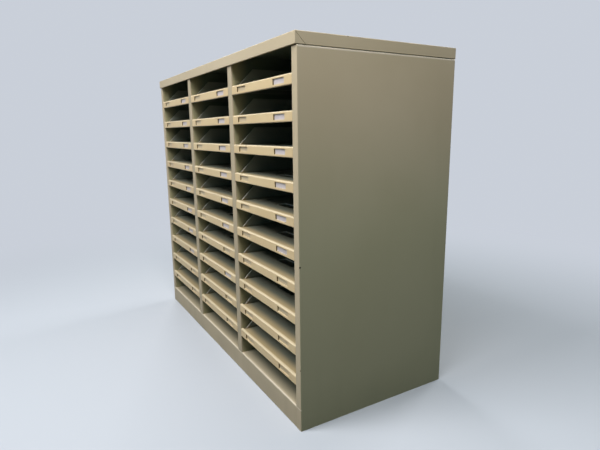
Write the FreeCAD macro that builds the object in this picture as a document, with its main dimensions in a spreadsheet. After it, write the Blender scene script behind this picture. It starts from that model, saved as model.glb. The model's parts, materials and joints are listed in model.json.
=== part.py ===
import FreeCAD, Part
import math
import os
import Sketcher

# Pigeonhole mail sorter: a folded sheet-steel casing with three columns of ten moulded trays, each
# sliding on a pair of steel runners. X is the width, Y runs from the front to the back, Z is up.
# The origin is the centre of the footprint, on the floor.

doc = FreeCAD.newDocument("mail_sorter")
sizes = doc.addObject("Spreadsheet::Sheet", "sizes")

# ---------------------------------------------------------------- driving dimensions, millimetres
DIMENSIONS = {
    "case_width": 800,
    "body_depth": 345,
    "cap_overhang": 3,
    "gauge": 1,
    "side_strip": 15.5,
    "divider_width": 20,
    "deck_level": 43,
    "level_pitch": 57.3,
    "tray_levels": 10,
    "panel_height": 654.8,
    "seam_gap": 1,
    "fascia_width": 242,
    "fascia_height": 17.8,
    "fascia_wall": 2.8,
    "fascia_chamfer": 1.2,
    "rim_depth": 5.2,
    "tray_width": 235,
    "tray_depth": 340,
    "tray_wall": 2,
    "tray_side_height": 34,
    "tray_side_start": 10,
    "pocket_offset": 75.5,
    "pocket_width": 40,
    "pocket_height": 9.7,
    "pocket_above_edge": 4.2,
    "pocket_recess": 2.2,
    "finger_hole_length": 64,
    "finger_hole_width": 21,
    "finger_hole_bow": 14,
    "finger_hole_setback": 46,
    "tray_travel": 150,
    "runner_clearance": 0.3,
    "runner_ledge": 12,
    "runner_leg": 10,
    "runner_end": 326,
    "stop_setback": 13,
    "stop_length": 6,
}

for row, (alias, number) in enumerate(DIMENSIONS.items(), 1):
    sizes.set(f"A{row}", alias)
    sizes.set(f"B{row}", str(number))
    sizes.setAlias(f"B{row}", alias)
doc.recompute()

# ---------------------------------------------------------------- places worked out from the sheet
HALF = "(sizes.case_width / 2)"
FRONT = "((sizes.cap_overhang - sizes.body_depth) / 2)"
REAR = f"({FRONT} + sizes.body_depth)"
CAP_FRONT = f"({FRONT} - sizes.cap_overhang)"
STRIP = f"({HALF} - sizes.side_strip)"
SKIN = f"({HALF} - sizes.gauge)"
BACK = f"({REAR} - 2 * sizes.gauge)"
CAP_BOTTOM = "(sizes.panel_height + sizes.seam_gap)"
CAP_UNDER = "(sizes.deck_level + (sizes.tray_levels + 1) * sizes.level_pitch + sizes.seam_gap)"
CAP_TOP = f"({CAP_UNDER} + sizes.gauge)"
COLUMN_CLEAR = f"((2 * {STRIP} - 2 * sizes.divider_width) / 3)"
COLUMN_STEP = f"({COLUMN_CLEAR} + sizes.divider_width)"

COLUMNS = {"left": -1, "middle": 0, "right": 1}


def value(expression):
    """The number that an expression of the sheet gives."""
    return float(sizes.evalExpression(str(expression)))


# ---------------------------------------------------------------- modelling helpers
def origin_part(body, role):
    """The body's own origin plane or axis with this role."""
    return next(item for item in body.Origin.OriginFeatures if item.Role == role)


def new_body(label):
    body = doc.addObject("PartDesign::Body", label)
    body.Label = label
    return body


def new_sketch(body, name, role, level):
    """A sketch on an origin plane, moved along that plane's positive axis to a level."""
    sketch = body.newObject("Sketcher::SketchObject", name)
    sketch.AttachmentSupport = [(origin_part(body, role), "")]
    sketch.MapMode = "FlatFace"
    toward_front = "-1 * " if role == "XZ_Plane" else ""
    sketch.setExpression(".AttachmentOffset.Base.z", f"{toward_front}({level})")
    return sketch


def bind(sketch, kind, geometry, point, expression):
    """Hold one coordinate of a sketch point to an expression."""
    number = value(expression)
    index = sketch.addConstraint(Sketcher.Constraint(kind, -1, 1, geometry, point, number))
    sketch.setExpression(f"Constraints[{index}]", str(expression))


def draw_outline(sketch, corners):
    """Add a closed outline of straight edges whose corners follow the sheet."""
    first = sketch.GeometryCount
    count = len(corners)
    points = [FreeCAD.Vector(value(a), value(b), 0) for a, b in corners]
    for i in range(count):
        sketch.addGeometry(Part.LineSegment(points[i], points[(i + 1) % count]), False)
    for i in range(count):
        follower = first + (i + 1) % count
        sketch.addConstraint(Sketcher.Constraint("Coincident", first + i, 2, follower, 1))
    for i, (a, b) in enumerate(corners):
        bind(sketch, "DistanceX", first + i, 1, a)
        bind(sketch, "DistanceY", first + i, 1, b)


def rectangle(a0, a1, b0, b1):
    return [(a0, b0), (a1, b0), (a1, b1), (a0, b1)]


def sides(a0, a1, b0, b1):
    """The same rectangle on both sides of the centre line."""
    return [rectangle(a0, a1, b0, b1), rectangle(f"-({a1})", f"-({a0})", b0, b1)]


def draw_slot(sketch, reach, near, far, bow):
    """Add an oblong across the centre line, whose short ends bow outward with a radius."""
    half = f"(({far} - {near}) / 2)"
    corner = f"({reach} - {bow} + sqrt({bow} ^ 2 - {half} ^ 2))"
    tip = FreeCAD.Vector(value(reach), (value(near) + value(far)) / 2, 0)
    low = FreeCAD.Vector(value(corner), value(near), 0)
    high = FreeCAD.Vector(value(corner), value(far), 0)
    other = [FreeCAD.Vector(-point.x, point.y, 0) for point in (high, tip, low)]
    first = sketch.GeometryCount
    sketch.addGeometry(Part.LineSegment(other[2], low), False)
    sketch.addGeometry(Part.Arc(low, tip, high), False)
    sketch.addGeometry(Part.LineSegment(high, other[0]), False)
    sketch.addGeometry(Part.Arc(*other), False)
    for i in range(4):
        sketch.addConstraint(Sketcher.Constraint("Coincident", first + i, 2, first + (i + 1) % 4, 1))
    for line, level, start in ((first, near, f"-{corner}"), (first + 2, far, corner)):
        bind(sketch, "DistanceX", line, 1, start)
        bind(sketch, "DistanceX", line, 2, f"-1 * ({start})")
        bind(sketch, "DistanceY", line, 1, level)
        bind(sketch, "DistanceY", line, 2, level)
    for arc in (first + 1, first + 3):
        index = sketch.addConstraint(Sketcher.Constraint("Radius", arc, value(bow)))
        sketch.setExpression(f"Constraints[{index}]", bow)


def pad(body, name, role, level, outlines, length):
    """Extrude outlines from a level along the plane's positive axis."""
    sketch = new_sketch(body, f"{name}_outline", role, level)
    for corners in outlines:
        draw_outline(sketch, corners)
    feature = body.newObject("PartDesign::Pad", name)
    feature.Profile = sketch
    feature.setExpression("Length", str(length))
    feature.Reversed = role == "XZ_Plane"
    sketch.Visibility = False
    doc.recompute()
    return feature


def cut_sketch(body, name, sketch, length, backward):
    """Cut a sketch into the body, and make sure that it removes material."""
    before = body.Shape.Volume
    feature = body.newObject("PartDesign::Pocket", name)
    feature.Profile = sketch
    feature.setExpression("Length", str(length))
    feature.Reversed = backward
    sketch.Visibility = False
    doc.recompute()
    if not body.Shape.Volume < before - 1e-3:
        raise ValueError(f"{name} cuts nothing")
    return feature


def cut(body, name, role, level, outlines, length):
    """Cut outlines from a level along the plane's positive axis."""
    sketch = new_sketch(body, f"{name}_outline", role, level)
    for corners in outlines:
        draw_outline(sketch, corners)
    return cut_sketch(body, name, sketch, length, role != "XZ_Plane")


def straight_edges(body, axis, places):
    """Names of the straight edges along an axis that pass through one of the places."""
    across = [i for i in range(3) if i != axis]
    targets = [[value(number) for number in place] for place in places]
    names = []
    for number, edge in enumerate(body.Shape.Edges, 1):
        ends = [vertex.Point for vertex in edge.Vertexes]
        if len(ends) != 2 or edge.Curve.TypeId != "Part::GeomLine":
            continue
        here = [ends[0][i] for i in across]
        if max(abs(ends[0][i] - ends[1][i]) for i in across) > 1e-4:
            continue
        if any(math.dist(here, target) < 1e-3 for target in targets):
            names.append(f"Edge{number}")
    if not names:
        raise ValueError(f"no edge of {body.Label} lies at {places}")
    return names


def round_edges(body, name, runs, radius):
    """Round the straight edges of each (axis, places) run in one feature."""
    names = [edge for axis, places in runs for edge in straight_edges(body, axis, places)]
    base = body.Tip
    feature = body.newObject("PartDesign::Fillet", name)
    feature.Base = (base, names)
    feature.Radius = radius
    doc.recompute()
    return feature


def repeat(body, name, originals, role, spacing, count):
    """A linear pattern along an origin axis, set as the body's tip."""
    feature = body.newObject("PartDesign::LinearPattern", name)
    feature.Originals = originals
    feature.Direction = (origin_part(body, role), [""])
    feature.Mode = "Spacing"
    feature.setExpression("Offset", spacing)
    feature.Occurrences = count
    body.Tip = feature
    doc.recompute()
    return feature


def mirrored(label, source):
    """The same piece handed over to the other side of the centre line."""
    piece = doc.addObject("Part::Mirroring", label)
    piece.Label = label
    piece.Source = source
    piece.Base = (0, 0, 0)
    piece.Normal = (1, 0, 0)
    return piece


def placed(label, source, x, y, z):
    """A copy of a piece at its own place."""
    piece = doc.addObject("Part::Compound", label)
    piece.Label = label
    piece.Links = [source]
    for axis, expression in zip("xyz", (x, y, z)):
        piece.setExpression(f"Placement.Base.{axis}", str(expression))
    return piece


# ---------------------------------------------------------------- casing, folded from sheet steel
def make_side_panel():
    """Outer skin with front and rear return flanges, and flanges turned in at top and bottom."""
    body = new_body("right_side_panel")
    inner_front = f"{FRONT} + sizes.gauge"
    inner_rear = f"{REAR} - sizes.gauge"
    channel = [
        (STRIP, FRONT), (HALF, FRONT), (HALF, REAR), (STRIP, REAR),
        (STRIP, inner_rear), (SKIN, inner_rear), (SKIN, inner_front), (STRIP, inner_front),
    ]
    pad(body, "skin_and_flanges", "XY_Plane", 0, [channel], "sizes.panel_height")
    round_edges(body, "corner_bends", [(2, [(HALF, FRONT), (HALF, REAR)])], 1.5)
    reach = rectangle(f"{HALF} - 14", f"{HALF} - 0.5", inner_front, f"{BACK} - 0.3")
    pad(body, "bottom_flange", "XY_Plane", 0, [reach], "sizes.gauge")
    reach = rectangle(f"{HALF} - 12", f"{HALF} - 0.5", inner_front, f"{BACK} - 0.3")
    pad(body, "top_flange", "XY_Plane", "sizes.panel_height - sizes.gauge", [reach], "sizes.gauge")
    round_edges(body, "top_bend", [(1, [(HALF, "sizes.panel_height")])], 0.9)
    return body


def make_liner():
    """Inner wall of an outer column, welded to the backs of the strips."""
    body = new_body("right_liner")
    wall = f"{STRIP} + sizes.gauge"
    lap = f"{HALF} - 4"
    front = f"{FRONT} + sizes.gauge"
    channel = [
        (STRIP, front), (lap, front), (lap, f"{front} + sizes.gauge"), (wall, f"{front} + sizes.gauge"),
        (wall, f"{BACK} - sizes.gauge"), (lap, f"{BACK} - sizes.gauge"), (lap, BACK), (STRIP, BACK),
    ]
    flanged = "sizes.panel_height - 2 * sizes.gauge"
    pad(body, "wall_and_flanges", "XY_Plane", "sizes.deck_level", [channel],
        f"{flanged} - sizes.deck_level")
    pad(body, "upper_wall", "XY_Plane", flanged, [rectangle(STRIP, wall, front, BACK)],
        f"{CAP_UNDER} - ({flanged})")
    return body


def make_divider():
    """Box-section upright between two columns, open at its back edge."""
    body = new_body("right_divider")
    inner = f"({COLUMN_CLEAR} / 2)"
    outer = f"({inner} + sizes.divider_width)"
    left, right = f"{inner} + sizes.gauge", f"{outer} - sizes.gauge"
    front = f"{FRONT} + sizes.gauge"
    lip = f"{BACK} - sizes.gauge"
    section = [
        (inner, FRONT), (outer, FRONT), (outer, BACK), (f"{outer} - 6", BACK), (f"{outer} - 6", lip),
        (right, lip), (right, front), (left, front), (left, lip), (f"{inner} + 6", lip),
        (f"{inner} + 6", BACK), (inner, BACK),
    ]
    pad(body, "box_section", "XY_Plane", "sizes.deck_level", [section],
        f"{CAP_UNDER} - sizes.deck_level")
    tabs = [
        rectangle(left, right, f"{FRONT} + 30", f"{FRONT} + 60"),
        rectangle(left, right, f"{BACK} - 60", f"{BACK} - 30"),
    ]
    pad(body, "foot_tabs", "XY_Plane", "sizes.deck_level", tabs, "sizes.gauge")
    pad(body, "head_tabs", "XY_Plane", f"{CAP_UNDER} - sizes.gauge", tabs, "sizes.gauge")
    round_edges(body, "front_bends", [(2, [(inner, FRONT), (outer, FRONT)])], 0.9)
    return body


def make_deck():
    """Bottom deck and base rail in one fold, with flanges turned down at the sides and rear."""
    body = new_body("bottom_deck")
    tongue = f"({STRIP} - 0.3)"
    under = "sizes.deck_level - sizes.gauge"
    fold = [
        (FRONT, 0), (f"{FRONT} + 15", 0), (f"{FRONT} + 15", "sizes.gauge"),
        (f"{FRONT} + sizes.gauge", "sizes.gauge"), (f"{FRONT} + sizes.gauge", under),
        (f"{FRONT} + 20", under), (f"{FRONT} + 20", "sizes.deck_level"), (FRONT, "sizes.deck_level"),
    ]
    pad(body, "rail_fold", "YZ_Plane", f"-{tongue}", [fold], f"2 * {tongue}")
    round_edges(body, "rail_nose_inside", [(0, [(f"{FRONT} + sizes.gauge", under)])], 1.5)
    round_edges(body, "rail_foot_bend", [(0, [(FRONT, 0)])], 1.2)
    plate = rectangle(f"-{SKIN}", SKIN, f"{FRONT} + sizes.gauge", BACK)
    pad(body, "deck_plate", "XY_Plane", under, [plate], "sizes.gauge")
    flanges = sides(f"{SKIN} - sizes.gauge", SKIN, f"{FRONT} + 10", f"{BACK} - 10")
    flanges.append(rectangle(f"-{STRIP}", STRIP, f"{BACK} - sizes.gauge", BACK))
    pad(body, "down_flanges", "XY_Plane", "sizes.deck_level - 16", flanges, 15.5)
    round_edges(body, "rail_nose", [(0, [(FRONT, "sizes.deck_level")])], 2.5)
    return body


def make_stiffeners():
    """Two hat channels welded under the deck."""
    body = new_body("deck_stiffeners")
    top = "sizes.deck_level - sizes.gauge"
    hats = []
    for centre in (-60, 60):
        def at(offset):
            return centre + offset
        hats.append([
            (at(-30), top), (at(-17), top), (at(-17), 21), (at(17), 21), (at(17), top), (at(30), top),
            (at(30), f"{top} - sizes.gauge"), (at(18), f"{top} - sizes.gauge"), (at(18), 20),
            (at(-18), 20), (at(-18), f"{top} - sizes.gauge"), (at(-30), f"{top} - sizes.gauge"),
        ])
    pad(body, "hat_sections", "YZ_Plane", f"-{STRIP}", hats, f"2 * {STRIP}")
    return body


def make_back_panel():
    """Plain rear sheet held between the flanges, with a flange turned in at the floor."""
    body = new_body("back_panel")
    edge = f"({SKIN} - 0.3)"
    sheet = rectangle(f"-{edge}", edge, 0, f"{CAP_UNDER} - 1")
    pad(body, "sheet", "XZ_Plane", BACK, [sheet], "sizes.gauge")
    foot = rectangle(f"-{STRIP}", STRIP, f"{BACK} - 15", f"{BACK} + 0.5")
    pad(body, "foot_flange", "XY_Plane", 0, [foot], "sizes.gauge")
    return body


def make_cap():
    """Lid with a hemmed fascia, flush side flanges and mitred front corners."""
    body = new_body("top_cap")
    hem = f"{FRONT} - 0.3"
    hem_top = f"{CAP_BOTTOM} + sizes.gauge"
    profile = [
        (CAP_FRONT, CAP_BOTTOM), (hem, CAP_BOTTOM), (hem, hem_top),
        (f"{CAP_FRONT} + sizes.gauge", hem_top), (f"{CAP_FRONT} + sizes.gauge", CAP_UNDER),
        (f"{REAR} - sizes.gauge", CAP_UNDER), (f"{REAR} - sizes.gauge", CAP_BOTTOM),
        (REAR, CAP_BOTTOM), (REAR, CAP_TOP), (CAP_FRONT, CAP_TOP),
    ]
    pad(body, "lid_fold", "YZ_Plane", f"-{HALF}", [profile], f"2 * {HALF}")
    flange = sides(SKIN, HALF, CAP_BOTTOM, f"{CAP_UNDER} + 0.5")
    pad(body, "side_flanges", "XZ_Plane", CAP_FRONT, flange, f"{REAR} - {CAP_FRONT}")
    lips = sides(f"{HALF} - 10", f"{HALF} - 0.5", f"{FRONT} + 17", f"{BACK} - 0.3")
    pad(body, "side_lips", "XY_Plane", CAP_BOTTOM, lips, "sizes.gauge")
    across = (0, [(CAP_FRONT, CAP_TOP), (REAR, CAP_TOP)])
    along = (1, [(HALF, CAP_TOP), (f"-{HALF}", CAP_TOP)])
    upright = (2, [(HALF, CAP_FRONT), (f"-{HALF}", CAP_FRONT)])
    round_edges(body, "lid_bends", [across, along, upright], 1.2)
    round_edges(body, "hem_bend", [(0, [(CAP_FRONT, CAP_BOTTOM)])], 0.8)
    drop = f"({CAP_UNDER} - {CAP_BOTTOM})"
    seam_half = 0.42
    start = f"{CAP_FRONT} + sizes.gauge"
    seam = [
        (f"{start} - {seam_half}", CAP_UNDER), (f"{start} + {seam_half}", CAP_UNDER),
        (f"{start} + {drop} + {seam_half}", CAP_BOTTOM), (f"{start} + {drop} - {seam_half}", CAP_BOTTOM),
    ]
    cut(body, "right_mitre", "YZ_Plane", f"{SKIN} - 0.01", [seam], "sizes.gauge + 0.02")
    cut(body, "left_mitre", "YZ_Plane", f"-{HALF} - 0.01", [seam], "sizes.gauge + 0.02")
    return body


# ---------------------------------------------------------------- trays and their runners
# A tray's own frame: the middle of its column, the casing's front plane, the top of its rim.
FLOOR_TOP = -1
FLOOR_UNDER = -3


def make_tray():
    """Moulded tray: flat floor level with a rounded rim, turned-down fascia, sloping side walls."""
    body = new_body("tray")
    half_fascia = "(sizes.fascia_width / 2)"
    half = "(sizes.tray_width / 2)"
    bottom = "(-1 * sizes.fascia_height)"
    rim = "sizes.rim_depth"
    fascia = [
        (0, 0), (rim, 0), (f"{rim} + 1", FLOOR_TOP), (f"{rim} + 1", FLOOR_UNDER),
        ("sizes.fascia_wall", FLOOR_UNDER), ("sizes.fascia_wall", bottom), ("sizes.fascia_chamfer", bottom),
        (0, f"{bottom} + sizes.fascia_chamfer"),
    ]
    pad(body, "fascia", "YZ_Plane", f"-{half_fascia}", [fascia], "sizes.fascia_width")
    floor = rectangle(f"-{half}", half, 4, "sizes.tray_depth")
    pad(body, "floor", "XY_Plane", FLOOR_UNDER, [floor], FLOOR_TOP - FLOOR_UNDER)
    start, rise = "sizes.tray_side_start", "sizes.tray_side_height"
    wall = [
        (start, FLOOR_UNDER), (start, FLOOR_TOP), (f"{start} + {rise} - ({FLOOR_TOP})", rise),
        ("sizes.tray_depth", rise), ("sizes.tray_depth", FLOOR_UNDER),
    ]
    pad(body, "left_wall", "YZ_Plane", f"-{half}", [wall], "sizes.tray_wall")
    pad(body, "right_wall", "YZ_Plane", f"{half} - sizes.tray_wall", [wall], "sizes.tray_wall")
    rear = rectangle(f"-{half}", half, FLOOR_UNDER, rise)
    pad(body, "rear_wall", "XZ_Plane", "sizes.tray_depth - sizes.tray_wall", [rear], "sizes.tray_wall")
    add_label_pockets(body, bottom)
    add_stop_lugs(body, half)
    cut_finger_hole(body)
    round_edges(body, "rim_roll", [(0, [(0, 0)])], 2.6)
    return body


def add_label_pockets(body, bottom):
    """Two recesses for label cards, each with a thicker wall behind it."""
    inner = "(sizes.pocket_offset - sizes.pocket_width / 2)"
    outer = "(sizes.pocket_offset + sizes.pocket_width / 2)"
    low = f"({bottom} + sizes.pocket_above_edge)"
    high = f"({low} + sizes.pocket_height)"
    backing = sides(f"{inner} - 2", f"{outer} + 2", f"{low} - 2", FLOOR_UNDER + 0.5)
    pad(body, "pocket_backing", "XZ_Plane", "sizes.fascia_wall - 0.5", backing, 2.1)
    recess = sides(inner, outer, low, high)
    cut(body, "label_pockets", "XZ_Plane", -0.01, recess, "sizes.pocket_recess + 0.01")


def add_stop_lugs(body, half):
    """Lugs under the floor that meet the runners' ears at full travel."""
    rear_of_stop = "sizes.stop_setback + sizes.stop_length"
    start = f"({rear_of_stop} + sizes.tray_travel + 1)"
    lugs = sides(f"{half} - 13", f"{half} - 10", start, f"{start} + 6")
    pad(body, "stop_lugs", "XY_Plane", FLOOR_UNDER - 5, lugs, 5.5)


def cut_finger_hole(body):
    """Oblong opening for lifting a stack of paper from below."""
    near = "sizes.finger_hole_setback"
    far = f"({near} + sizes.finger_hole_width)"
    sketch = new_sketch(body, "finger_hole_outline", "XY_Plane", FLOOR_UNDER - 0.5)
    draw_slot(sketch, "(sizes.finger_hole_length / 2)", near, far, "sizes.finger_hole_bow")
    cut_sketch(body, "finger_hole", sketch, 3, True)


def make_runners():
    """Ten pairs of steel angles with stop ears, for the column at the centre."""
    body = new_body("runner_set")
    wall = f"({COLUMN_CLEAR} / 2)"
    lowest = "(sizes.deck_level + sizes.level_pitch)"
    top = f"({lowest} + {FLOOR_UNDER} - sizes.runner_clearance)"
    under = f"({top} - sizes.gauge)"
    foot = f"({top} - sizes.runner_leg)"
    edge = f"({wall} - sizes.runner_ledge)"
    face = f"({wall} - sizes.gauge)"
    right = [(edge, top), (wall, top), (wall, foot), (face, foot), (face, under), (edge, under)]
    left = [(f"-{a}", b) for a, b in right]
    setback = "(sizes.fascia_wall + sizes.runner_clearance)"
    angles = pad(body, "angles", "XZ_Plane", f"{FRONT} + {setback}", [right, left],
                 f"sizes.runner_end - {setback}")
    ears = sides(f"{edge} - 6.5", f"{edge} + 1", f"{FRONT} + sizes.stop_setback",
                 f"{FRONT} + sizes.stop_setback + sizes.stop_length")
    stops = pad(body, "stop_ears", "XY_Plane", under, ears, "sizes.gauge")
    repeat(body, "levels", [angles, stops], "Z_Axis", "sizes.level_pitch", int(value("sizes.tray_levels")))
    return body


# ---------------------------------------------------------------- assembly
def build_casing():
    panel, liner, divider = make_side_panel(), make_liner(), make_divider()
    pieces = [panel, liner, divider]
    pieces += [mirrored(piece.Label.replace("right", "left"), piece) for piece in (panel, liner, divider)]
    pieces += [make_cap(), make_deck(), make_stiffeners(), make_back_panel()]
    return pieces


def build_columns():
    pieces = []
    tray, runners = make_tray(), make_runners()
    for name, side in COLUMNS.items():
        centre = f"{side} * {COLUMN_STEP}"
        pieces.append(placed(f"{name}_tray_runners", runners, centre, 0, 0))
        for level in range(int(value("sizes.tray_levels"))):
            rim = f"sizes.deck_level + sizes.level_pitch * (sizes.tray_levels - {level})"
            pieces.append(placed(f"tray_{name}_{level + 1:02d}", tray, centre, FRONT, rim))
    return pieces


def check_document():
    """Stop if any object failed to recompute."""
    for item in doc.Objects:
        if {"Invalid", "Error"} & set(item.State):
            raise RuntimeError(f"{item.Label} failed: {item.State}")


def export(pieces):
    os.makedirs("parts", exist_ok=True)
    for piece in pieces:
        shape = piece.Shape
        if shape.isNull() or not shape.isValid() or not shape.Solids:
            raise RuntimeError(f"{piece.Label} has no valid solid")
        shape.exportStep(f"parts/{piece.Label}.step")
        box = shape.BoundBox
        print(f"{piece.Label}: {len(shape.Solids)} solids, x {box.XMin:.1f} {box.XMax:.1f}, "
              f"y {box.YMin:.1f} {box.YMax:.1f}, z {box.ZMin:.1f} {box.ZMax:.1f}")


pieces = build_casing() + build_columns()
doc.recompute()
check_document()
export(pieces)
print(f"{len(pieces)} nodes written")
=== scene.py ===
# %% [markdown]
# # A pigeonhole mail sorter
#
# The sorter is a folded steel casing with three columns of moulded trays. The solids come ready made,
# one for each sheet, tray and set of runners, so this lesson gives them their paint and plastic, slips the
# paper label cards into their pockets, and sets a plain studio round them.

# %% Bring in the steel and plastic solids
import json
import math
import random

import bpy
from mathutils import Matrix, Vector


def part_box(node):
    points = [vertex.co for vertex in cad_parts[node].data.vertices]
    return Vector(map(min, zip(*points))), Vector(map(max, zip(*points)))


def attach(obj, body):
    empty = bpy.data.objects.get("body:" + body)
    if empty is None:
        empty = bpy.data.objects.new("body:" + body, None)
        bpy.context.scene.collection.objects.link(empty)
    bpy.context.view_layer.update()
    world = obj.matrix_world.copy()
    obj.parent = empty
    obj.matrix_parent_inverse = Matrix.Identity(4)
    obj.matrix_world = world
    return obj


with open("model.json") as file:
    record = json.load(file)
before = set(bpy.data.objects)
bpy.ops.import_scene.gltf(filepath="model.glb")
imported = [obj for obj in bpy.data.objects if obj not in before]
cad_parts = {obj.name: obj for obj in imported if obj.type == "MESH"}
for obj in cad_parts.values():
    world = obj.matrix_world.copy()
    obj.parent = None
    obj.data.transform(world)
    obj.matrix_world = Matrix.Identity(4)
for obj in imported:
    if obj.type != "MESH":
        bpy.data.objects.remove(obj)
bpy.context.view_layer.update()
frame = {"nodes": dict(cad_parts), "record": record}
nodes = frame["nodes"]
MM = 0.001

# %% [markdown]
# The places of the label cards, of the wear marks and of the painted shade and highlights are worked out
# from the solids: the casing's outer faces, and each tray's own box, whose front face is the fascia and whose
# lower edge is the fascia's edge.
# The inside ends a little in front of the back panel, whose box ends at its rear face.

# %% Faces that later cells measure from
panel_low, panel_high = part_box("right_side_panel")
cap_low, cap_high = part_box("top_cap")
RIGHT_FACE = panel_high.x
FRONT_FACE = panel_low.y
BACK_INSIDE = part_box("back_panel")[1].y - 2.5 * MM
CAP_BOTTOM = panel_high.z
TOP_FACE = cap_high.z
DECK_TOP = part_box("bottom_deck")[1].z
TRAY_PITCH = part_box("tray_left_01")[0].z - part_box("tray_left_02")[0].z
COLUMN_STEP = (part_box("tray_right_01")[0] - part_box("tray_middle_01")[0]).x
trays = sorted(name for name in nodes if name.startswith("tray_"))
print("front face", round(FRONT_FACE, 4), "top face", round(TOP_FACE, 4), "trays", len(trays))

# %% [markdown]
# ## Shader maths
#
# A finish is a handful of masks mixed together. Each mask is arithmetic on numbers that vary over the
# surface, so a small class lets that arithmetic be written as ordinary sums, and one method adds every
# other kind of node. Display colours are easier to think in, so a helper turns them into linear light.


# %% A surface value that can be added and multiplied
class Value:
    """A number that varies over the surface, used in plain sums."""

    def __init__(self, finish, socket):
        self.finish = finish
        self.socket = socket

    def _math(self, operation, first, second):
        return self.finish.add("ShaderNodeMath", {"operation": operation}, {0: first, 1: second})

    def __add__(self, other):
        return self._math("ADD", self, other)

    def __radd__(self, other):
        return self._math("ADD", other, self)

    def __sub__(self, other):
        return self._math("SUBTRACT", self, other)

    def __rsub__(self, other):
        return self._math("SUBTRACT", other, self)

    def __mul__(self, other):
        return self._math("MULTIPLY", self, other)

    def __rmul__(self, other):
        return self._math("MULTIPLY", other, self)

    def __truediv__(self, other):
        return self._math("DIVIDE", self, other)

    def off(self, place):
        """How far the number is from a place, either way."""
        return self.finish.add("ShaderNodeMath", {"operation": "ABSOLUTE"}, {0: self - place})

    def within(self, period):
        """The number's distance from the nearest whole multiple of a period, with its sign."""
        whole = self.finish.add("ShaderNodeMath", {"operation": "ROUND"}, {0: self / period})
        return self - whole * period


print("sums on a surface value:", "+ - * /", "off within")


# %% A finish and the one method that adds its nodes
class Finish:
    """A material with its Principled shader and the nodes that feed it."""

    def __init__(self, name, roughness, specular=0.5):
        self.material = bpy.data.materials.new(name)
        self.material.use_nodes = True
        self.tree = self.material.node_tree
        self.shader = self.tree.nodes["Principled BSDF"]
        self.shader.inputs["Roughness"].default_value = roughness
        self.shader.inputs["Specular IOR Level"].default_value = specular
        self.where = self.add("ShaderNodeTexCoord", output="Object")

    def add(self, kind, settings=None, inputs=None, output=0):
        node = self.tree.nodes.new(kind)
        for name, setting in (settings or {}).items():
            setattr(node, name, setting)
        for name, given in (inputs or {}).items():
            self.feed(node.inputs[name], given)
        return Value(self, node.outputs[output])

    def feed(self, socket, given):
        if isinstance(given, Value):
            self.tree.links.new(given.socket, socket)
        else:
            socket.default_value = given

    def noise(self, scale, detail=2.0, stretch=(1, 1, 1)):
        """Soft random cloud; a stretch below 1 draws it out along that axis."""
        placed = self.add("ShaderNodeVectorMath", {"operation": "MULTIPLY"},
                          {0: self.where, 1: stretch})
        return self.add("ShaderNodeTexNoise", None,
                        {"Vector": placed, "Scale": scale, "Detail": detail}, "Fac")

    def rise(self, value, start, end):
        """0 below start, 1 above end, smooth between them."""
        return self.add("ShaderNodeMapRange", {"interpolation_type": "SMOOTHSTEP"},
                        {"Value": value, "From Min": start, "From Max": end})

    def fall(self, value, start, end):
        """1 below start, 0 above end, smooth between them."""
        return 1 - self.rise(value, start, end)

    def blend(self, amount, first, second):
        """A colour between two, by a mask."""
        settings = {"data_type": "RGBA", "clamp_factor": True}
        return self.add("ShaderNodeMix", settings, {"Factor": amount, 6: first, 7: second}, 2)

    def axis(self, name):
        """One object coordinate in metres."""
        return self.add("ShaderNodeSeparateXYZ", None, {0: self.where}, name)

    def spot(self, centre, radius, ragged):
        """1 inside a ragged spot around a point, 0 outside."""
        away = self.add("ShaderNodeVectorMath", {"operation": "DISTANCE"},
                        {0: self.where, 1: centre}, "Value")
        edge = away + (self.noise(900, 3) - 0.5) * ragged
        return self.fall(edge, radius * 0.8, radius)

    def bump(self, height, strength, distance):
        normal = self.add("ShaderNodeBump", None,
                          {"Height": height, "Strength": strength, "Distance": distance}, "Normal")
        self.feed(self.shader.inputs["Normal"], normal)


print("masks:", "noise rise fall spot;", "colours: blend;", "relief: bump")


# %% Display colours as linear light
def tone(red, green, blue):
    """A display colour, 0 to 255, as linear light."""
    def line(part):
        part /= 255
        return part / 12.92 if part <= 0.04045 else ((part + 0.055) / 1.055) ** 2.4
    return (line(red), line(green), line(blue), 1.0)


print("a mid beige in linear light:", [round(v, 3) for v in tone(190, 178, 152)])

# %% [markdown]
# ## Enamel on steel
#
# The casing is stove enamelled: an even, low sheen with a faint orange-peel texture. Broad noise shifts its
# colour a little and fine noise drives the bump. Every mark on it is a mask with a place, such as a height,
# a depth behind the front or a distance from the middle, so each mask is a product of a few soft steps.

# %% Enamel colours
ENAMEL = tone(195, 179, 150)
ENAMEL_FADED = tone(201, 185, 157)
# Pale enamel for the painted highlights on the deck's nose and on the bends under the cap.
ENAMEL_HIGHLIGHT = tone(232, 220, 200)
# Greener grey enamel for the painted shade on the lower part of the right side.
ENAMEL_SIDE_SHADE = tone(171, 180, 143)
# Olive and dark teal grey enamel for the painted shade inside, near the opening and deeper in.
ENAMEL_NEAR_SHADE = tone(174, 167, 131)
ENAMEL_DEEP_SHADE = tone(90, 106, 96)
# Grime on the outside; on the deck inside, the same colour is painted shade.
GRIME_AND_SHADE = tone(128, 118, 97)
PRIMER = tone(52, 46, 40)
print("enamel in linear light:", [round(v, 3) for v in ENAMEL])

# %% [markdown]
# Outside, the enamel has darkened toward the floor, where shoes and cloths reach it, and on the two divider
# fronts, where hands brush past on both sides. The lower part of the right side is painted a little greyer
# and greener, as painted shade.

# %% Wear on the outside, and painted shade on the right side
GRIMY_HEIGHT = 90 * MM
SIDE_SHADE_FULL_BELOW, SIDE_SHADE_NONE_ABOVE = 300 * MM, 620 * MM
DIVIDER_HALF = 12 * MM


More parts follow.
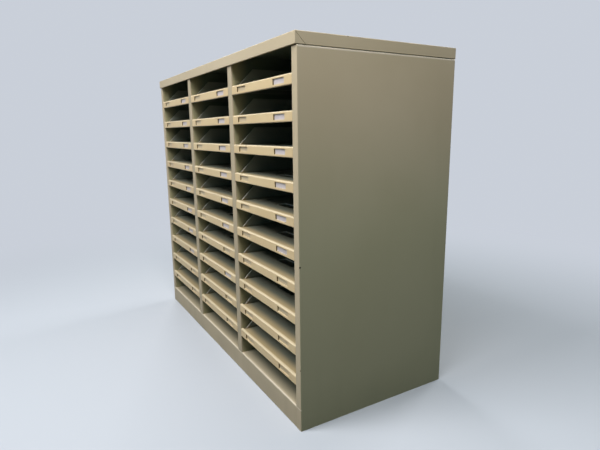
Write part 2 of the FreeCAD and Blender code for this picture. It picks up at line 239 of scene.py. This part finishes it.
def wear_and_side_shade(finish, colour, cloud):
    """Grime toward the floor and on the divider fronts, and painted shade low on the right side."""
    height = finish.axis("Z")
    depth = finish.axis("Y") - FRONT_FACE
    side = finish.axis("X").off(0)
    streak = finish.noise(14, 3, (1, 1, 0.12))
    low = finish.fall(height, 0.0, GRIMY_HEIGHT)
    darkened = finish.rise(streak, 0.52, 0.75) * 0.12 + low * finish.rise(cloud, 0.3, 0.7) * 0.35
    colour = finish.blend(darkened, colour, GRIME_AND_SHADE)
    # Painted shade: the right side turns greyer and greener toward its lower part.
    right_face = finish.rise(finish.axis("X"), RIGHT_FACE - 0.6 * MM, RIGHT_FACE - 0.1 * MM)
    side_shade = right_face * finish.fall(height, SIDE_SHADE_FULL_BELOW, SIDE_SHADE_NONE_ABOVE)
    colour = finish.blend(side_shade * 0.4, colour, ENAMEL_SIDE_SHADE)
    divider = finish.fall(side.off(COLUMN_STEP / 2), DIVIDER_HALF, DIVIDER_HALF + 1 * MM)
    divider = divider * finish.rise(height, DECK_TOP - 0.4 * MM, DECK_TOP - 0.1 * MM)
    divider = divider * finish.fall(height, CAP_BOTTOM - 1 * MM, CAP_BOTTOM)
    handled = divider * finish.fall(depth, 1 * MM, 4 * MM)
    return finish.blend(handled * 0.22, colour, GRIME_AND_SHADE)


# Prints the grime's height and the height where the right side's painted shade ends.
print("grime up to", round(GRIMY_HEIGHT / MM), "mm, greying up to", round(SIDE_SHADE_NONE_ABOVE / MM), "mm")

# %% [markdown]
# Inside, the walls are painted with shade: olive just behind the opening and a dark teal grey deeper in,
# and the deck is painted darker behind its nose. The mask leaves out the outer faces: it ends
# within the sheet of the cap, and just short of the side panels and of the back panel.

# %% Painted shade on the inside
SHADE_DEPTH = 40 * MM


def shade_inside(finish, colour):
    """Painted shade: olive enamel near the opening, dark teal grey deeper in, and a darker deck."""
    height = finish.axis("Z")
    depth = finish.axis("Y") - FRONT_FACE
    side = finish.axis("X").off(0)
    back = BACK_INSIDE - FRONT_FACE
    enclosed = finish.rise(height, DECK_TOP - 0.4 * MM, DECK_TOP - 0.1 * MM)
    enclosed = enclosed * finish.fall(height, TOP_FACE - 0.8 * MM, TOP_FACE - 0.4 * MM)
    enclosed = enclosed * finish.fall(side, RIGHT_FACE - 2 * MM, RIGHT_FACE - 1 * MM)
    enclosed = enclosed * finish.fall(depth, back, back + 1 * MM)
    above_deck = finish.rise(height, DECK_TOP, DECK_TOP + 2 * MM)
    # Painted shade: olive enamel just behind the opening.
    near_shade = enclosed * finish.rise(depth, 1 * MM, 5 * MM) * above_deck
    colour = finish.blend(near_shade, colour, ENAMEL_NEAR_SHADE)
    # Painted shade: dark teal grey deeper in.
    deep_shade = enclosed * finish.rise(depth, 1 * MM, SHADE_DEPTH)
    colour = finish.blend(deep_shade * 0.9, colour, ENAMEL_DEEP_SHADE)
    # Painted shade on the deck behind its nose.
    on_deck = finish.fall(height, DECK_TOP, DECK_TOP + 1 * MM)
    darkened = enclosed * finish.rise(depth, 3 * MM, 8 * MM) * on_deck
    return finish.blend(darkened * 0.35, colour, GRIME_AND_SHADE)


# The depth where the painted shade inside is full.
print("full dust from", round(SHADE_DEPTH / MM), "mm behind the front")

# %% [markdown]
# Two edges are painted pale, as painted highlights: the nose of the deck and the bend at the top of each
# side, just under the cap. A few chips show dark primer on the bends.

# %% Painted edge highlights and chips
CHIPS = [
    (Vector((RIGHT_FACE, FRONT_FACE + 1.7 * MM, 304 * MM)), 1.8 * MM),
    (Vector((RIGHT_FACE - 0.6 * MM, FRONT_FACE + 0.4 * MM, 118 * MM)), 1.1 * MM),
    (Vector((RIGHT_FACE, FRONT_FACE + 96 * MM, TOP_FACE - 0.5 * MM)), 1.2 * MM),
    (Vector((-RIGHT_FACE, FRONT_FACE + 1.2 * MM, 241 * MM)), 1.4 * MM),
]
CHIP_RAGGED = 1.2 * MM


def paint_edge_highlights(finish, colour):
    """Painted highlights: pale enamel on the nose of the deck and on the bends under the cap."""
    height = finish.axis("Z")
    depth = finish.axis("Y") - FRONT_FACE
    side = finish.axis("X").off(0)
    # Painted highlight along the rounded nose of the deck.
    nose = finish.fall(height.off(DECK_TOP - 1.2 * MM), 1.0 * MM, 1.8 * MM)
    nose = nose * finish.fall(depth, 1.5 * MM, 3.0 * MM)
    colour = finish.blend(nose * 0.6, colour, ENAMEL_HIGHLIGHT)
    # Painted highlight along the bend at the top of each side, under the cap.
    bend = finish.fall(height.off(CAP_BOTTOM - 1.2 * MM), 1.2 * MM, 2.0 * MM)
    bend = bend * finish.rise(side, RIGHT_FACE - 9 * MM, RIGHT_FACE - 8 * MM)
    bend = bend * finish.rise(depth, 0.5 * MM, 2 * MM)
    return finish.blend(bend * 0.75, colour, ENAMEL_HIGHLIGHT)


def chip_spots(finish):
    """1 inside any chip, 0 elsewhere."""
    return sum(finish.spot(centre, radius, CHIP_RAGGED) for centre, radius in CHIPS)


print("chips:", len(CHIPS))


# %% Casing enamel
def make_enamel():
    finish = Finish("beige_enamel", 0.5, 0.22)
    cloud = finish.noise(5, 3)
    colour = finish.blend(finish.rise(cloud, 0.35, 0.65), ENAMEL, ENAMEL_FADED)
    colour = wear_and_side_shade(finish, colour, cloud)
    colour = shade_inside(finish, colour)
    colour = paint_edge_highlights(finish, colour)
    chipped = chip_spots(finish)
    colour = finish.blend(chipped, colour, PRIMER)
    finish.feed(finish.shader.inputs["Base Color"], colour)
    finish.feed(finish.shader.inputs["Roughness"], 0.46 + cloud * 0.1 + chipped * 0.3)
    finish.bump(finish.noise(420, 2) + chipped * -2.0, 0.12, 0.3 * MM)
    return finish.material


enamel = make_enamel()
print("casing enamel:", enamel.name, "with", len(enamel.node_tree.nodes), "nodes")

# %% [markdown]
# The runners get a dark teal grey enamel all over, and the trays slide on their ledges, so bright
# steel shows through in long scratches that run from front to back. Stretching a noise along Y draws such
# scratches.

# %% Runner enamel
RUNNER_TEAL_GREY = tone(108, 116, 106)
BARE_STEEL = tone(150, 150, 148)


def make_runner_finish():
    finish = Finish("worn_runner_enamel", 0.45)
    scratch = finish.rise(finish.noise(260, 3, (1, 0.02, 1)), 0.56, 0.66)
    colour = finish.blend(scratch * 0.7, RUNNER_TEAL_GREY, BARE_STEEL)
    finish.feed(finish.shader.inputs["Base Color"], colour)
    finish.feed(finish.shader.inputs["Metallic"], scratch * 0.7)
    finish.feed(finish.shader.inputs["Roughness"], 0.45 - scratch * 0.12)
    finish.bump(finish.noise(420, 2), 0.1, 0.3 * MM)
    return finish.material


runner_finish = make_runner_finish()
print("runner finish:", runner_finish.name)

# %% [markdown]
# ## Moulded tray plastic
#
# The trays are a warmer beige than the steel, through-coloured and slightly satin, with the fine grain of
# an etched mould. The thirty trays share one finish, so it has to find its way on each of them: the height
# above the nearest rim and the distance from the column's middle are remainders of the tray pitch and the
# column step.

# %% Tray colours, and where a spot lies on its tray
PLASTIC = tone(223, 199, 154)
PLASTIC_AGED = tone(219, 192, 146)
# Pale colours for the painted highlights on the rims and on the sloping wall edges.
PLASTIC_RIM_HIGHLIGHT = tone(215, 200, 170)
PLASTIC_EDGE_HIGHLIGHT = tone(236, 237, 234)
# Painted shade on the tray floors just behind the rim.
PLASTIC_SHADED = tone(175, 155, 118)
# Pale colour for the painted highlight on the finger hole's back lip.
HOLE_LIP_HIGHLIGHT = tone(226, 230, 230)
# Painted shade deeper in the trays: teal grey on the floors, which also darkens the scuffs, paler grey on the
# side walls and dark on the undersides.
SHADE_AND_SCUFF = tone(106, 120, 114)
WALL_SHADE = tone(155, 160, 151)
UNDERSIDE_SHADE = tone(66, 76, 78)
# Painted shade in the label pockets: dark at their ends and greyer inside.
POCKET_END_SHADE = tone(96, 80, 46)
POCKET_SHADE = tone(176, 172, 162)
FLOOR_TOP, FLOOR_UNDER = -1 * MM, -3 * MM


def on_tray(finish):
    """Depth behind the front, height above the nearest rim, distance from the column's middle."""
    depth = finish.axis("Y") - FRONT_FACE
    above_rim = (finish.axis("Z") - DECK_TOP).within(TRAY_PITCH)
    aside = finish.axis("X").within(COLUMN_STEP).off(0)
    return depth, above_rim, aside


print("tray pitch and column step in mm:", round(TRAY_PITCH / MM, 1), round(COLUMN_STEP / MM, 1))

# %% [markdown]
# The floors are painted darker just behind the rim and a teal grey from a finger's breadth behind it, as
# painted shade. The side walls are painted a paler grey shade, and the undersides are painted dark as shade.


# %% Painted shade in the trays
def paint_tray_shade(finish, colour):
    """Painted shade: darker floors, a paler grey shade on the side walls, dark undersides."""
    depth, above_rim, _ = on_tray(finish)
    # Painted shade: the floors darken just behind the rim and turn teal grey further in.
    colour = finish.blend(finish.rise(depth, 3.5 * MM, 7 * MM) * 0.9, colour, PLASTIC_SHADED)
    deep_shade = finish.rise(depth, 9 * MM, 29 * MM) * (0.58 + 0.3 * finish.noise(30, 3))
    colour = finish.blend(deep_shade, colour, SHADE_AND_SCUFF)
    # Painted shade on the side walls.
    walls = finish.rise(above_rim, 1.5 * MM, 3 * MM) + finish.fall(above_rim, -22 * MM, -20 * MM)
    walls = walls * finish.rise(depth, 14 * MM, 24 * MM)
    colour = finish.blend(walls * 0.85, colour, WALL_SHADE)
    # Painted shade on the undersides.
    under = finish.fall(above_rim, FLOOR_UNDER + 0.1 * MM, FLOOR_UNDER + 0.3 * MM)
    under = under * finish.rise(above_rim, -20 * MM, -18 * MM) * finish.rise(depth, 4 * MM, 6 * MM)
    return finish.blend(under, colour, UNDERSIDE_SHADE), deep_shade


print("floor from", round(FLOOR_UNDER / MM), "to", round(FLOOR_TOP / MM), "mm over the rim's height")

# %% [markdown]
# The rims are painted paler, as a painted highlight. The side walls rise at 45 degrees, so their sloping edge
# is where depth and height differ by a fixed amount, and it has a painted highlight almost white, most of all
# near the floor.

# %% Painted highlights on the rims and the wall edges
WALL_START = 11 * MM


def paint_rim_highlights(finish, colour):
    """Painted highlights: paler rims, and a pale line along the slope of each side wall."""
    depth, above_rim, _ = on_tray(finish)
    # Painted highlight along the rims.
    rim_highlight = finish.fall(depth, 3.5 * MM, 7 * MM) * finish.rise(above_rim, -2.6 * MM, -1.2 * MM)
    colour = finish.blend(rim_highlight * 0.75, colour, PLASTIC_RIM_HIGHLIGHT)
    # Painted highlight along the sloping edge of each side wall.
    edge = finish.fall((depth - above_rim).off(WALL_START), 0.7 * MM, 1.4 * MM)
    edge = edge * finish.rise(above_rim, 0.2 * MM, 1.0 * MM) * finish.fall(above_rim, 8 * MM, 26 * MM)
    return finish.blend(edge * 0.5, colour, PLASTIC_EDGE_HIGHLIGHT), rim_highlight


print("wall slope starts", round(WALL_START / MM), "mm behind the front")

# %% [markdown]
# The label pockets are painted greyer inside and dark at both ends, as painted shade. The finger hole's back
# lip in the floor is painted pale, as a painted highlight, so it shows as a bright line.

# %% Painted shade in the pockets, and the finger hole's painted highlight
POCKET_MIDDLE, POCKET_HALF, POCKET_FLOOR = 75.5 * MM, 20 * MM, 2.2 * MM
HOLE_HALF, HOLE_BACK = 30 * MM, 67.6 * MM
HOLE_FRONT = 40 * MM


def paint_pocket_shade(finish, colour):
    """Painted shade: greyer label pockets, dark at their ends."""
    depth, above_rim, aside = on_tray(finish)
    # Painted shade inside the pocket recesses.
    recessed = finish.rise(depth, 0.1 * MM, 0.7 * MM) * finish.fall(depth, 2.4 * MM, 2.7 * MM)
    recessed = recessed * finish.fall(above_rim, -3.9 * MM, -3.4 * MM)
    colour = finish.blend(recessed * 0.35, colour, POCKET_SHADE)
    # Painted shade at the pocket ends.
    end = finish.fall(aside.off(POCKET_MIDDLE).off(POCKET_HALF), 0.3 * MM, 1.1 * MM)
    return finish.blend(end * recessed * 0.9, colour, POCKET_END_SHADE)


def paint_hole_highlight(finish, colour):
    """Painted highlight: a pale back lip and a pale wall inside the finger hole."""
    depth, above_rim, aside = on_tray(finish)
    # Painted highlight on the finger hole's back lip and wall.
    lip = finish.fall(depth.off(HOLE_BACK), 0.8 * MM, 1.4 * MM)
    lip = lip * finish.fall(aside, HOLE_HALF, HOLE_HALF + 3 * MM)
    wall = finish.rise(above_rim, FLOOR_UNDER + 0.1 * MM, FLOOR_UNDER + 0.3 * MM)
    wall = wall * finish.fall(above_rim, FLOOR_TOP - 0.3 * MM, FLOOR_TOP - 0.1 * MM)
    wall = wall * finish.rise(depth, HOLE_FRONT, HOLE_FRONT + 2 * MM)
    wall = wall * finish.fall(aside, HOLE_HALF + 10 * MM, HOLE_HALF + 12 * MM)
    hole_highlight = lip + wall * (1 - lip)
    return finish.blend(hole_highlight * 0.85, colour, HOLE_LIP_HIGHLIGHT), hole_highlight


print("finger hole lip", round(HOLE_BACK / MM, 1), "mm behind the front")


# %% Tray plastic
def make_plastic():
    finish = Finish("satin_tray_plastic", 0.5, 0.35)
    depth, _, _ = on_tray(finish)
    colour = finish.blend(finish.rise(finish.noise(9, 3), 0.3, 0.7), PLASTIC, PLASTIC_AGED)
    colour, deep_shade = paint_tray_shade(finish, colour)
    colour, rim_highlight = paint_rim_highlights(finish, colour)
    colour = paint_pocket_shade(finish, colour)
    colour, hole_highlight = paint_hole_highlight(finish, colour)
    scuff = finish.rise(finish.noise(320, 3, (1, 0.04, 1)), 0.6, 0.68) * finish.rise(depth, 12 * MM, 30 * MM)
    colour = finish.blend(scuff * 0.15, colour, SHADE_AND_SCUFF)
    finish.feed(finish.shader.inputs["Base Color"], colour)
    rough = 0.42 + deep_shade * 0.3 + scuff * 0.1 - rim_highlight * 0.1 - hole_highlight * 0.3
    finish.feed(finish.shader.inputs["Roughness"], rough)
    finish.bump(finish.noise(1600, 1) + scuff * -0.6, 0.12, 0.2 * MM)
    return finish.material


plastic = make_plastic()
print("tray plastic:", plastic.name, "with", len(plastic.node_tree.nodes), "nodes")

# %% [markdown]
# Every solid keeps its own mesh and only changes its material, by what the piece is made of.

# %% Dress the solids
def finish_for(name):
    if name.startswith("tray_"):
        return plastic
    if name.endswith("_tray_runners"):
        return runner_finish
    return enamel


for name, piece in nodes.items():
    piece.data.materials.clear()
    piece.data.materials.append(finish_for(name))
print("dressed", len(nodes), "solids")

# %% [markdown]
# ## Label cards
#
# Each tray has two shallow pockets, and about two thirds of the right-hand ones hold a bare slip of card,
# pushed against the pocket's outer end. Cut card never lies flat, so the slip is a thin block with a slight
# bow and a ripple. One Geometry Nodes tree makes it, with its sizes as inputs and a seed that makes every
# card a little different.

# %% Paper finish
PAPER_LIGHT = tone(212, 203, 206)
PAPER_GREY = tone(196, 187, 188)


def make_paper():
    finish = Finish("label_card", 0.8)
    fibre = finish.noise(2600, 3, (1, 1, 0.35))
    cloud = finish.noise(60, 2)
    colour = finish.blend(fibre * 0.5 + cloud * 0.5, PAPER_LIGHT, PAPER_GREY)
    finish.feed(finish.shader.inputs["Base Color"], colour)
    finish.feed(finish.shader.inputs["Roughness"], 0.74 + fibre * 0.15)
    finish.bump(fibre, 0.15, 0.1 * MM)
    return finish.material


paper = make_paper()
print("card finish:", paper.name)

# %% The card's node tree
CARD_WIDTH, CARD_HEIGHT = 38 * MM, 9.3 * MM
CARD_INPUTS = {
    "Width": ("NodeSocketFloat", CARD_WIDTH),
    "Height": ("NodeSocketFloat", CARD_HEIGHT),
    "Thickness": ("NodeSocketFloat", 0.35 * MM),
    "Bow": ("NodeSocketFloat", 0.35 * MM),
    "Seed": ("NodeSocketFloat", 0.0),
    "Paper": ("NodeSocketMaterial", None),
}


def card_tree():
    tree = bpy.data.node_groups.new("label_card", "GeometryNodeTree")
    for name, (kind, default) in CARD_INPUTS.items():
        socket = tree.interface.new_socket(name, in_out="INPUT", socket_type=kind)
        if default is not None:
            socket.default_value = default
    tree.interface.new_socket("Card", in_out="OUTPUT", socket_type="NodeSocketGeometry")

    def add(kind, settings=None, inputs=None):
        node = tree.nodes.new(kind)
        for name, setting in (settings or {}).items():
            setattr(node, name, setting)
        for name, given in (inputs or {}).items():
            if isinstance(given, bpy.types.NodeSocket):
                tree.links.new(given, node.inputs[name])
            else:
                node.inputs[name].default_value = given
        return node

    given = add("NodeGroupInput").outputs
    size = add("ShaderNodeCombineXYZ", None,
               {"X": given["Width"], "Y": given["Thickness"], "Z": given["Height"]})
    block = add("GeometryNodeMeshCube", None,
                {"Size": size.outputs[0], "Vertices X": 13, "Vertices Y": 2, "Vertices Z": 4})
    place = add("GeometryNodeInputPosition")
    parts = add("ShaderNodeSeparateXYZ", None, {0: place.outputs[0]})
    along = add("ShaderNodeMath", {"operation": "DIVIDE"}, {0: parts.outputs["X"], 1: given["Width"]})
    square = add("ShaderNodeMath", {"operation": "MULTIPLY"}, {0: along.outputs[0], 1: along.outputs[0]})
    arch = add("ShaderNodeMath", {"operation": "MULTIPLY"}, {0: square.outputs[0], 1: -4.0})
    lift = add("ShaderNodeMath", {"operation": "MULTIPLY"}, {0: arch.outputs[0], 1: given["Bow"]})
    ripple = add("ShaderNodeTexNoise", {"noise_dimensions": "4D"},
                 {"Vector": place.outputs[0], "W": given["Seed"], "Scale": 70.0, "Detail": 1.0})
    centred = add("ShaderNodeMath", {"operation": "SUBTRACT"}, {0: ripple.outputs[0], 1: 0.5})
    wave = add("ShaderNodeMath", {"operation": "MULTIPLY"}, {0: centred.outputs[0], 1: given["Bow"]})
    shift = add("ShaderNodeMath", {"operation": "SUBTRACT"}, {0: wave.outputs[0], 1: lift.outputs[0]})
    offset = add("ShaderNodeCombineXYZ", None, {"Y": shift.outputs[0]})
    bowed = add("GeometryNodeSetPosition", None,
                {"Geometry": block.outputs["Mesh"], "Offset": offset.outputs[0]})
    whole = add("GeometryNodeRealizeInstances", None, {"Geometry": bowed.outputs[0]})
    named = add("GeometryNodeSetMaterial", None,
                {"Geometry": whole.outputs[0], "Material": given["Paper"]})
    tree.links.new(named.outputs[0], add("NodeGroupOutput").inputs[0])
    return tree


cards = card_tree()
print("card tree inputs:", list(CARD_INPUTS))

# %% [markdown]
# The tree is run once for each card. Its result becomes a plain mesh, is turned and moved to the pocket,
# and rides with its tray, so the card comes along when the tray is pulled out.

# %% Run the tree for one card
def run_card(name, seed):
    """One card as a plain mesh around the origin."""
    piece = bpy.data.objects.new(name, bpy.data.meshes.new(name))
    bpy.context.collection.objects.link(piece)
    modifier = piece.modifiers.new("card", "NODES")
    modifier.node_group = cards
    idents = {item.name: item.identifier for item in cards.interface.items_tree if item.in_out == "INPUT"}
    modifier[idents["Seed"]] = float(seed)
    modifier[idents["Paper"]] = paper
    bpy.context.view_layer.update()
    ready = piece.evaluated_get(bpy.context.evaluated_depsgraph_get())
    mesh = bpy.data.meshes.new_from_object(ready)
    piece.modifiers.remove(modifier)
    piece.data = mesh
    mesh.name = name
    return piece


print("card size in mm:", round(CARD_WIDTH / MM, 1), round(CARD_HEIGHT / MM, 1))

# %% Slip the cards into their pockets
POCKET_LOW = 4.2 * MM
CARD_SINK, CARD_LIFT = 0.55 * MM, 0.12 * MM
CARD_SLACK = (0.1, 0.5)
CARD_TILT = 0.25
CARD_ROWS = {"right": (1, 2, 3, 4, 5, 6), "middle": (1, 2, 3, 4, 5, 6, 8), "left": tuple(range(1, 9))}
SEEDS_APART = 20


def body_of_node(name):
    """The body that a CAD node rides on."""
    return next(body for body, members in frame["record"]["behaviour"]["bodies"].items()
                if name in members)


def fascia_low(tray):
    """Height of the fascia's lower edge: the lowest corner of the tray."""
    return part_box(tray)[0].z


def place_card(column, row, chance):
    """One card at the outer end of its tray's right-hand pocket."""
    tray = f"tray_{column}_{row:02d}"
    low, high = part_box(tray)
    middle = (low.x + high.x) / 2
    piece = run_card(f"label_{column}_{row:02d}", row + SEEDS_APART * len(column))
    slack = chance.uniform(*CARD_SLACK) * MM
    centre = Vector((middle + POCKET_MIDDLE + POCKET_HALF - CARD_WIDTH / 2 - slack,
                     low.y + POCKET_FLOOR - CARD_SINK,
                     fascia_low(tray) + POCKET_LOW + CARD_HEIGHT / 2 + CARD_LIFT))
    tilt = Matrix.Rotation(math.radians(chance.uniform(-CARD_TILT, CARD_TILT)), 4, "Y")
    piece.data.transform(Matrix.Translation(centre) @ tilt)
    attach(piece, body_of_node(tray))
    return piece


chance = random.Random(7)
label_cards = [place_card(column, row, chance) for column, rows in CARD_ROWS.items() for row in rows]
print("label cards:", len(label_cards))

# %% [markdown]
# ## Studio
#
# The floor is pale where the camera sees it and takes the sorter's shadow, but gives little light back, so
# it doesn't brighten the undersides. Far out it turns into the surround, so there is no horizon. The surround
# is pale where it is seen or reflected, and otherwise adds a weak, cool light.

# %% Floor and surround
SURROUND = tone(206, 212, 222)
SURROUND_STRENGTH = 0.95
SKYLIGHT = tone(92, 198, 208)
SKYLIGHT_STRENGTH = 0.1
FLOOR_SEEN = tone(196, 200, 208)
FLOOR_BOUNCE = tone(54, 57, 56)
FLOOR_REACH = 8.0
FADE_START, FADE_END = 0.6, 1.7
SEEN_BY = ("Is Camera Ray", "Is Glossy Ray", "Is Transmission Ray")


def make_floor():
    """A square of floor: shaded where it is seen near by, dull for light that bounces, bright far out."""
    mesh = bpy.data.meshes.new("studio_floor")
    reach = FLOOR_REACH
    mesh.from_pydata([(-reach, -reach, 0), (reach, -reach, 0), (reach, reach, 0), (-reach, reach, 0)],
                     [], [(0, 1, 2, 3)])
    floor = bpy.data.objects.new("studio_floor", mesh)
    bpy.context.collection.objects.link(floor)
    finish = Finish("studio_floor", 0.9, 0.0)
    finish.shader.inputs["Base Color"].default_value = FLOOR_SEEN
    away = finish.add("ShaderNodeVectorMath", {"operation": "LENGTH"}, {0: finish.where}, "Value")
    seen = sum(finish.add("ShaderNodeLightPath", output=kind) for kind in SEEN_BY)
    shaded = Value(finish, finish.shader.outputs[0])
    dull = finish.add("ShaderNodeBsdfDiffuse", None, {"Color": FLOOR_BOUNCE})
    bright = finish.add("ShaderNodeEmission", None, {"Color": SURROUND, "Strength": SURROUND_STRENGTH})
    near = finish.add("ShaderNodeMixShader", None, {0: seen, 1: dull, 2: shaded})
    fade = finish.rise(away, FADE_START, FADE_END) * seen
    whole = finish.add("ShaderNodeMixShader", None, {0: fade, 1: near, 2: bright})
    finish.feed(finish.tree.nodes["Material Output"].inputs["Surface"], whole)
    mesh.materials.append(finish.material)
    return floor


def make_surround():
    """A world that is pale to look at and lights the sorter only weakly."""
    world = bpy.data.worlds.new("studio")
    bpy.context.scene.world = world
    world.use_nodes = True
    nodes_here, link = world.node_tree.nodes, world.node_tree.links.new
    light = nodes_here["Background"]
    light.inputs["Color"].default_value = SKYLIGHT
    light.inputs["Strength"].default_value = SKYLIGHT_STRENGTH
    seen = nodes_here.new("ShaderNodeBackground")
    seen.inputs["Color"].default_value = SURROUND
    seen.inputs["Strength"].default_value = SURROUND_STRENGTH
    path = nodes_here.new("ShaderNodeLightPath")
    either = nodes_here.new("ShaderNodeMath")
    any_of_three = nodes_here.new("ShaderNodeMath")
    switch = nodes_here.new("ShaderNodeMixShader")
    link(path.outputs[SEEN_BY[0]], either.inputs[0])
    link(path.outputs[SEEN_BY[1]], either.inputs[1])
    link(either.outputs[0], any_of_three.inputs[0])
    link(path.outputs[SEEN_BY[2]], any_of_three.inputs[1])
    link(any_of_three.outputs[0], switch.inputs[0])
    link(light.outputs[0], switch.inputs[1])
    link(seen.outputs[0], switch.inputs[2])
    link(switch.outputs[0], nodes_here["World Output"].inputs[0])
    return world


floor = make_floor()
surround = make_surround()
print("floor and surround:", floor.name, surround.name)

# %% [markdown]
# Five soft lamps make the light. The key stands high in front, so it lights the strips and the first inches
# of each tray and leaves the backs of the compartments dark. A high lamp to the right and nearer the sorter
# brightens the rims and the tray floors. A small side lamp by the right front corner makes the right side
# fade downwards and grazes the inner walls. Two large fills light the left side and the back. They stay
# behind the front's plane and leave no glint on the top.

# %% Lamps
LAMPS = (
    # name, place, aim, watts, width, height, glints
    ("key", (0.0, -1.38, 1.9), (0, -0.1, 0.45), 35, 0.7, 1.05, True),
    ("high_lamp", (0.7, -0.75, 2.0), (0.1, -0.1, 0.45), 12.5, 0.6, 0.6, True),
    ("side_lamp", (1.0, -0.34, 1.3), (0.4, 0.05, 0.5), 5.7, 0.3, 0.3, True),
    ("left_fill", (-3.2, 0.6, 1.1), (-0.4, 0, 0.35), 60, 1.1, 1.1, False),
    ("rear_fill", (-0.6, 3.3, 1.1), (0, 0.17, 0.35), 62, 1.1, 1.1, False),
)


def make_lamp(name, place, aim, watts, width, height, glints):
    """A soft rectangle of light that faces its aim."""
    lamp = bpy.data.lights.new(name, "AREA")
    lamp.shape = "RECTANGLE"
    lamp.size = width
    lamp.size_y = height
    lamp.energy = watts
    thing = bpy.data.objects.new(name, lamp)
    bpy.context.collection.objects.link(thing)
    thing.location = place
    thing.visible_glossy = glints
    thing.rotation_euler = (Vector(aim) - Vector(place)).to_track_quat("-Z", "Y").to_euler()
    return thing


lamps = [make_lamp(*lamp) for lamp in LAMPS]
print("lamps:", [lamp.name for lamp in lamps])

# %% [markdown]
# ## Camera
#
# The camera stands three quarters of a metre from the front right corner, at about three quarters of the
# sorter's height, and looks slightly down. A wide lens so near makes the far columns shrink quickly.

# %% Camera
AZIMUTH = math.radians(59.573)
ELEVATION = math.radians(11.311)
ROLL = math.radians(-0.669)
EYE = Vector((1.0396, -0.5440, 0.5247))
SENSOR_WIDTH, FOCAL_LENGTH = 36, 27.88


def make_camera():
    """A camera at the eye, turned by azimuth, elevation and roll."""
    data = bpy.data.cameras.new("camera")
    data.sensor_width = SENSOR_WIDTH
    data.lens = FOCAL_LENGTH
    thing = bpy.data.objects.new("camera", data)
    bpy.context.collection.objects.link(thing)
    level = math.cos(ELEVATION)
    sight = Vector((-math.sin(AZIMUTH) * level, math.cos(AZIMUTH) * level, -math.sin(ELEVATION)))
    turn = sight.to_track_quat("-Z", "Y").to_matrix().to_4x4() @ Matrix.Rotation(ROLL, 4, "Z")
    thing.matrix_world = Matrix.Translation(EYE) @ turn
    return thing


camera = make_camera()
bpy.context.scene.camera = camera
bpy.context.scene.view_settings.view_transform = "Standard"
print("camera at", tuple(round(v, 3) for v in EYE))
